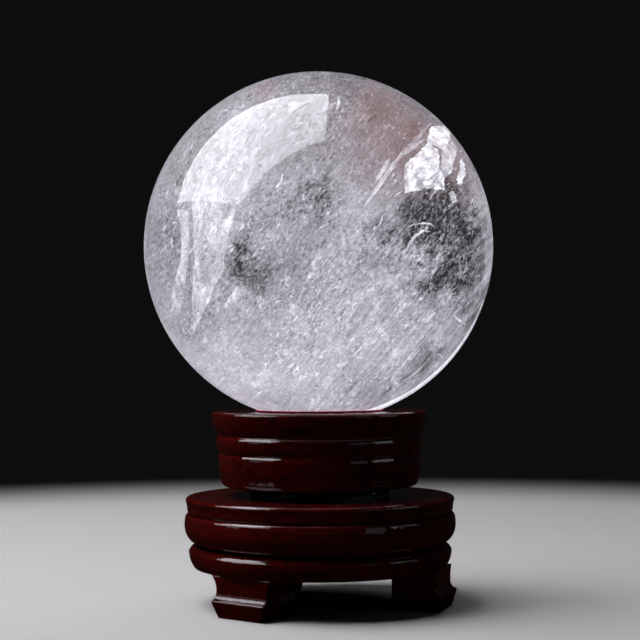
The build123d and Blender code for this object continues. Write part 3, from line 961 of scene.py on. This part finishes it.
def add_fibre(shells, root, lean, length, rng):
    """One curled fibre: a thin closed three-sided spike."""
    side = lean.orthogonal().normalized()
    other = lean.cross(side)
    curl = side * rng.uniform(-0.4, 0.4) + other * rng.uniform(-0.4, 0.4)
    angles = (0, math.tau / 3, 2 * math.tau / 3)
    ring = [root + (side * math.cos(t) + other * math.sin(t)) * FIBRE_RADIUS for t in angles]
    middle = [p + (lean + curl * 0.4) * length * 0.55 for p in ring]
    tip = root + (lean + curl).normalized() * length
    faces = [(2, 1, 0)]
    for k in range(3):
        m = (k + 1) % 3
        faces += [(k, m, 3 + m, 3 + k), (3 + k, 3 + m, 6)]
    shells.add(ring + middle + [tip], faces)


# ---------------------------------------------------------------- studio

COOL = (0.92, 0.94, 1.0)
FLOOR_RADIUS, FLOOR_SIDES = 2.5, 96
# Places are (azimuth, elevation, distance) from the ball's centre, in degrees and metres.
MATT_PLACE = (-86, 57, 0.6)
# The softbox: its azimuth and elevation, where it faces, its size, and its turn about its centre
SOFTBOX_AT = (-66.4, 61.2)
SOFTBOX_FACING = (82.4, -47.8)
SOFTBOX_SIZE = (0.636, 0.863)
SOFTBOX_TURN = -10.7
# The parts of its near end that the stand mirrors: (size, shift within its plane)
LOW_END = ((0.518, 0.26), (-0.059, -0.30))
HIGH_END = ((0.268, 0.25), (-0.184, -0.045))


def floor_material():
    """Painted pool of light: pale about the stand and painted black beyond it. What the gloss and
    the crystal show of it, and what bounces up from it, is toned down, as by black cards out of
    frame."""
    s = Shader("studio_floor")
    dim, pale, black = (0.54, 0.52, 0.50), (0.60, 0.58, 0.56), (0.0, 0.0, 0.0)
    bounced, mirrored, refracted = (0.06, 0.025, 0.02), (0.012, 0.006, 0.005), (0.09, 0.05, 0.045)
    out = s.vec("LENGTH", s.stretched(s.here(), (1, 1, 0)))
    # painted pool of light: the floor's colour fades to black away from the stand
    painted_falloff = s.remap(out, 0.29, 0.47)
    tone = s.mix(painted_falloff, s.mix(s.noise(s.here_mm(), 0.9, 4, 0.6), dim, pale), black)
    path = s.node("ShaderNodeLightPath")
    tone = s.mix(s.mul(path.outputs["Is Diffuse Ray"], 0.90), tone, bounced)
    tone = s.mix(path.outputs["Is Glossy Ray"], tone, mirrored)
    tone = s.mix(s.mul(path.outputs["Is Transmission Ray"], 0.85), tone, refracted)
    return s.finish(
        s.surface(
            Base_Color=tone,
            Roughness=0.6,
            Specular_IOR_Level=0.0,
            Emission_Color=BACKDROP,
            Emission_Strength=painted_falloff,
        )
    )


def add_floor():
    angles = [math.tau * i / FLOOR_SIDES for i in range(FLOOR_SIDES)]
    rim = [(FLOOR_RADIUS * math.cos(a), FLOOR_RADIUS * math.sin(a), 0.0) for a in angles]
    new_mesh("studio_floor", rim, [list(range(FLOOR_SIDES))], floor_material())


def sphere_direction(azimuth, elevation):
    """Azimuth 0 is towards the camera's side, -Y, and grows towards +X."""
    a, e = math.radians(azimuth), math.radians(elevation)
    return Vector((math.sin(a) * math.cos(e), -math.cos(a) * math.cos(e), math.sin(e)))


def area_light(name, place, size, power, lights, facing=None, turn=0.0, shift=(0.0, 0.0)):
    """A flat rectangular lamp at a place, facing (azimuth, elevation) or else the ball. shift
    moves it in its own plane, and lights is the kind of ray that meets it: matt, gloss or
    through."""
    data = bpy.data.lights.new(name, "AREA")
    data.shape = "RECTANGLE"
    data.size, data.size_y = size
    data.energy = power
    data.color = COOL
    lamp = linked(bpy.data.objects.new(name, data))
    azimuth, elevation, distance = place
    out = sphere_direction(*(facing or (azimuth + 180, -elevation)))
    level = Vector((0, 0, 1)).cross(out).normalized()
    axes = Matrix((-level, out.cross(level), -out)).transposed().to_4x4()
    centre = BALL_C + sphere_direction(azimuth, elevation) * distance
    turned = axes @ Matrix.Rotation(-math.radians(turn), 4, "Z")
    lamp.matrix_world = Matrix.Translation(centre) @ turned @ Matrix.Translation((*shift, 0))
    lamp.visible_diffuse = lights == "matt"
    lamp.visible_glossy = lights == "gloss"
    lamp.visible_transmission = lights == "through"
    lamp.visible_camera = False
    return lamp


def gathered(name, objects, state):
    """A collection for a lamp's light linking that includes or excludes the objects."""
    group = bpy.data.collections.new(name)
    for obj in objects:
        group.objects.link(obj)
    for member in group.collection_objects:
        member.light_linking.link_state = state
    return group


def add_lights():
    """A softbox high on the left, dim windows on the right and one low on the left. The softbox
    is made of lamps in nearly one place, so that what it lights, what mirrors it and what it
    looks like through the crystal can be balanced apart. Part of its light passes the ball, as
    it does in clear crystal. The stand mirrors only its near end."""
    ball = NODES["crystal_ball"]
    crystal = [ball] + [o for o in bpy.data.objects if o.name.startswith("quartz_")]
    for_ball = gathered("mirrored_in_ball", [ball], "INCLUDE")
    for_stand = gathered("mirrored_in_stand", [ball], "EXCLUDE")

    def softbox(name, power, lights, distance, size=SOFTBOX_SIZE, shift=(0.0, 0.0)):
        place = (*SOFTBOX_AT, distance)
        return area_light(name, place, size, power, lights, SOFTBOX_FACING, SOFTBOX_TURN, shift)

    area_light("matt", MATT_PLACE, (0.5, 0.5), 2.2, "matt")
    passing = area_light("matt_passing", MATT_PLACE, (0.5, 0.5), 3.3, "matt")
    passing.light_linking.blocker_collection = gathered("passed_by_light", crystal, "EXCLUDE")
    softbox("softbox_through", 3.2, "through", 0.596)
    mirrored = (
        (for_ball, softbox("softbox_gloss_ball", 8.8, "gloss", 0.598)),
        (for_stand, softbox("softbox_gloss_stand_low", 1.7, "gloss", 0.598, *LOW_END)),
        (for_stand, softbox("softbox_gloss_stand_high", 1.7, "gloss", 0.598, *HIGH_END)),
        (for_ball, area_light("window_ball", (101.5, 20.6, 0.8), (0.085, 0.062), 0.09, "gloss")),
        (for_stand, area_light("window_front", (45, 6, 0.9), (0.30, 0.42), 0.065, "gloss")),
        (for_stand, area_light("window_side", (76, 11, 0.9), (0.46, 0.20), 0.26, "gloss")),
        (for_stand, area_light("window_low", (-76, 6, 0.9), (0.22, 0.07), 0.05, "gloss")),
    )
    for receivers, lamp in mirrored:
        lamp.light_linking.receiver_collection = receivers
    area_light("fill", (35, 35, 0.9), (0.6, 0.6), 0.06, "matt")
    area_light("back", (150, 40, 0.9), (0.5, 0.5), 0.8, "matt")


def add_world():
    world = bpy.data.worlds.new("studio")
    world.use_nodes = True
    tree = world.node_tree
    path = tree.nodes.new("ShaderNodeLightPath")
    pick = tree.nodes.new("ShaderNodeMix")
    pick.data_type = "RGBA"
    tree.links.new(path.outputs["Is Camera Ray"], pick.inputs[MIX_SHARE])
    pick.inputs[MIX_FROM].default_value = rgba(AMBIENT)
    pick.inputs[MIX_TO].default_value = rgba(BACKDROP)
    tree.links.new(pick.outputs[MIX_RESULT], tree.nodes["Background"].inputs["Color"])
    bpy.context.scene.world = world


def add_camera():
    data = bpy.data.cameras.new("camera")
    data.sensor_fit = "HORIZONTAL"
    data.sensor_width = SENSOR_MM
    data.lens = LENS_MM
    data.clip_start = 10 * MM
    camera = linked(bpy.data.objects.new("camera", data))
    tipped = Matrix.Rotation(math.pi / 2 + TIP_UP, 4, "X")
    camera.matrix_world = Matrix.Translation(EYE) @ tipped @ Matrix.Rotation(-ROLL, 4, "Z")
    bpy.context.scene.camera = camera


# ---------------------------------------------------------------- the scene


def paint(material, *nodes):
    for name in nodes:
        for slot in NODES[name].material_slots:
            slot.material = material


paint(
    lacquered_wood(),
    "seat_cup",
    "base_board",
    "base_drum",
    "foot_ring",
    "leg_front_left",
    "leg_right",
    "leg_rear",
)
paint(plated_steel(), "centre_rivet", "upper_plate_screws", "lower_plate_screws", "base_screws")
paint(black_enamel(), "turntable_upper_plate", "turntable_lower_plate")
paint(ball_steel(), "bearing_balls")
paint(stamped_brass(), "ball_retainer")
paint(bare_wood(), "leg_dowels")
paint(rock_crystal(), "crystal_ball")

add_veils()
add_fracture()
add_slivers()
add_felt()
add_floor()
add_lights()
add_world()
add_camera()
bpy.context.scene.view_settings.view_transform = "Standard"
